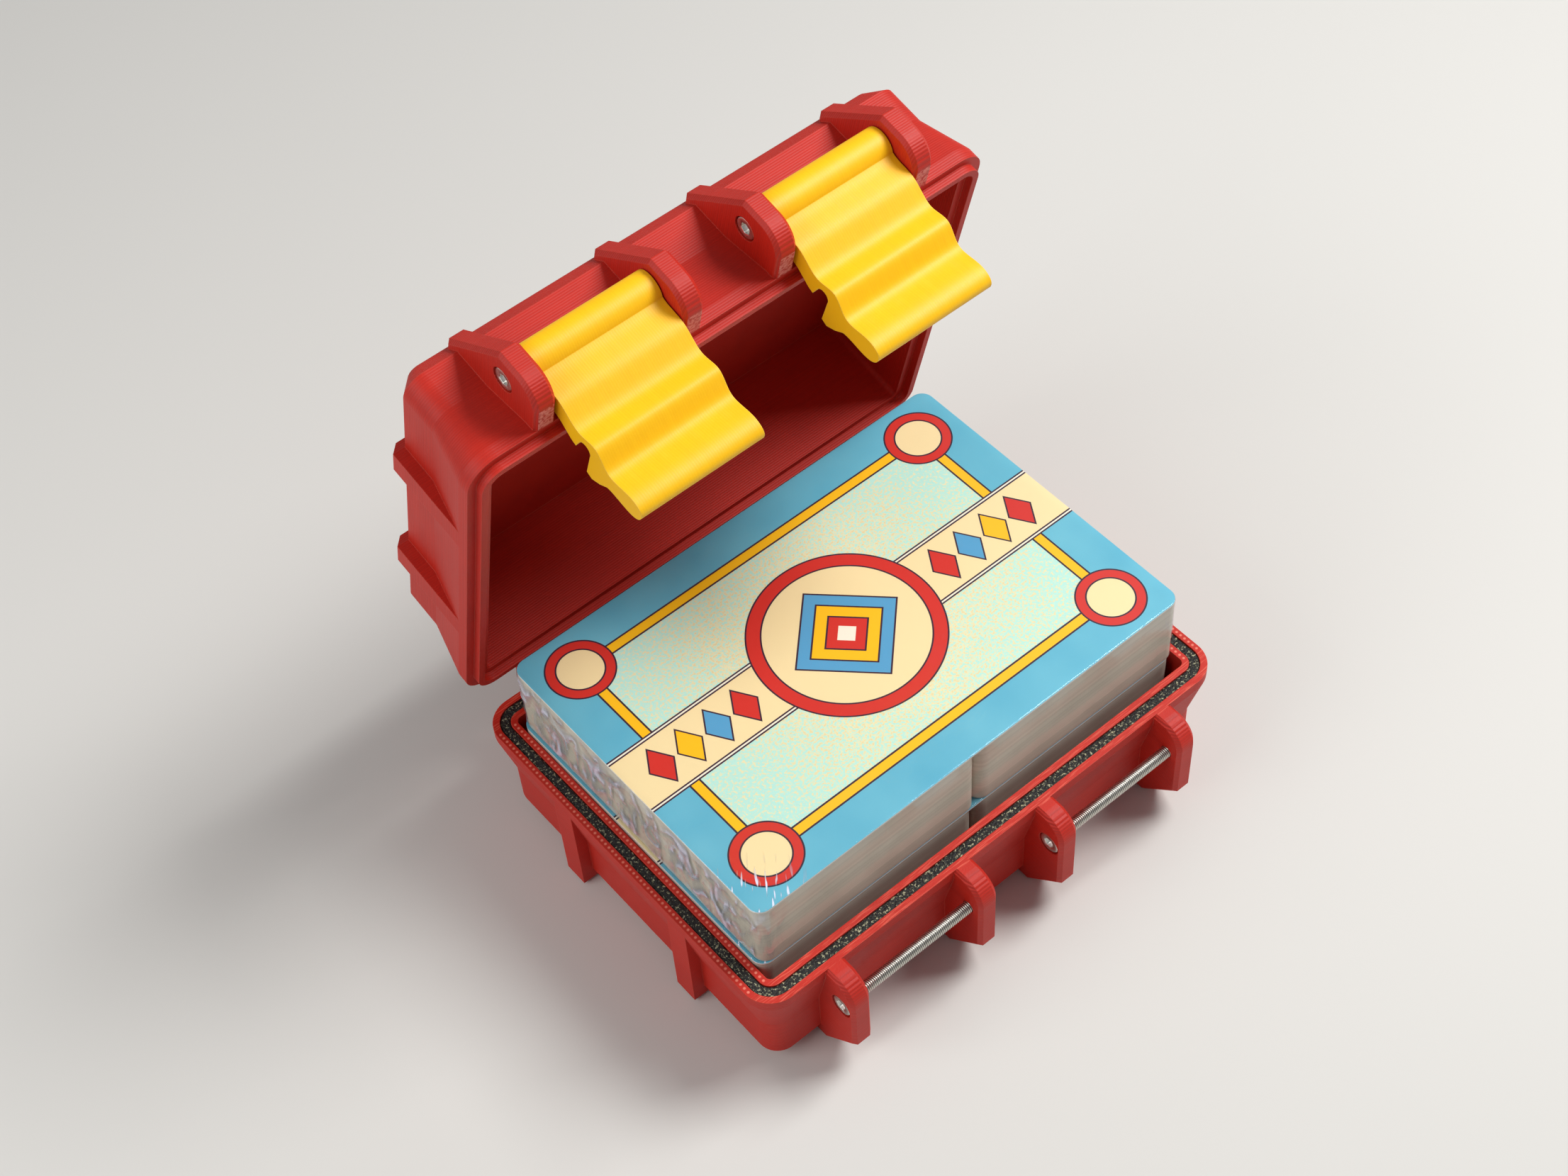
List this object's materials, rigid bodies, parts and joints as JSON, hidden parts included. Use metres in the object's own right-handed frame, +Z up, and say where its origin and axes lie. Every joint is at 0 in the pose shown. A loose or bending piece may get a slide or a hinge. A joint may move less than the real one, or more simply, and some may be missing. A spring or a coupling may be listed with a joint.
{
  "type": "card game box",
  "caption": "Printed hard case for card packs: tub with gasket rim, lid on rear screw hinges, snap latches over catch screws, shrink-wrapped packs inside.",
  "frame": {"origin": "centre of the rim's outline on the underside of the tub", "axes": "+X along the hinge towards the right end, +Y from the latches to the hinges, +Z up"},
  "size_m": [0.1392, 0.146, 0.1554],
  "materials": {
    "red_print": "3-D printed with fine layer lines",
    "yellow_print": "satin 3-D print",
    "gasket_foam": "matt speckled foam",
    "screw_steel": "bright zinc",
    "card_edges": "cut edges of a stack of cards",
    "cover_print": "coated printed sheet",
    "clear_film": "clear shrink film"
  },
  "bodies": {
    "tub": {"base_tub": "red_print", "gasket": "gasket_foam", "catch_screw_left": "screw_steel", "catch_screw_right": "screw_steel", "hinge_screw_left": "screw_steel", "hinge_screw_right": "screw_steel", "upper_deck_left": "card_edges", "upper_deck_right": "card_edges", "lower_deck_left": "card_edges", "lower_deck_right": "card_edges", "upper_cover_card": "cover_print", "lower_cover_card": "cover_print", "upper_film_wrap": "clear_film", "lower_film_wrap": "clear_film"},
    "lid": {"lid_shell": "red_print"},
    "pivot_left": {"latch_pivot_left": "screw_steel"},
    "pivot_right": {"latch_pivot_right": "screw_steel"},
    "latch_left": {"latch_left": "yellow_print"},
    "latch_right": {"latch_right": "yellow_print"}
  },
  "joints": [
    {"name": "lid_hinge", "type": "hinge", "parent": "tub", "child": "lid", "pos_m": [0, 0.05805, 0.0326], "axis": [1, 0, 0], "range_deg": [-15, 75.3], "deforming": ["gasket"]},
    {"name": "pivot_left_turn", "type": "hinge", "parent": "lid", "child": "pivot_left", "pos_m": [-0.0313, 0.03916, 0.14793], "axis": [-1, 0, 0], "range_deg": [-2.8, 13.85]},
    {"name": "latch_left_swing", "type": "hinge", "parent": "pivot_left", "child": "latch_left", "pos_m": [-0.0313, 0.03916, 0.14793], "axis": [-1, 0, 0], "range_deg": [0, 110]},
    {"name": "pivot_right_turn", "type": "hinge", "parent": "lid", "child": "pivot_right", "pos_m": [0.0313, 0.03916, 0.14793], "axis": [-1, 0, 0], "range_deg": [-2.8, 13.85]},
    {"name": "latch_right_swing", "type": "hinge", "parent": "pivot_right", "child": "latch_right", "pos_m": [0.0313, 0.03916, 0.14793], "axis": [-1, 0, 0], "range_deg": [0, 110]}
  ],
  "couplings": [
    {"joint": "pivot_left_turn", "follows": "lid_hinge", "ratio": 0.18327},
    {"joint": "pivot_right_turn", "follows": "lid_hinge", "ratio": 0.18327}
  ]
}
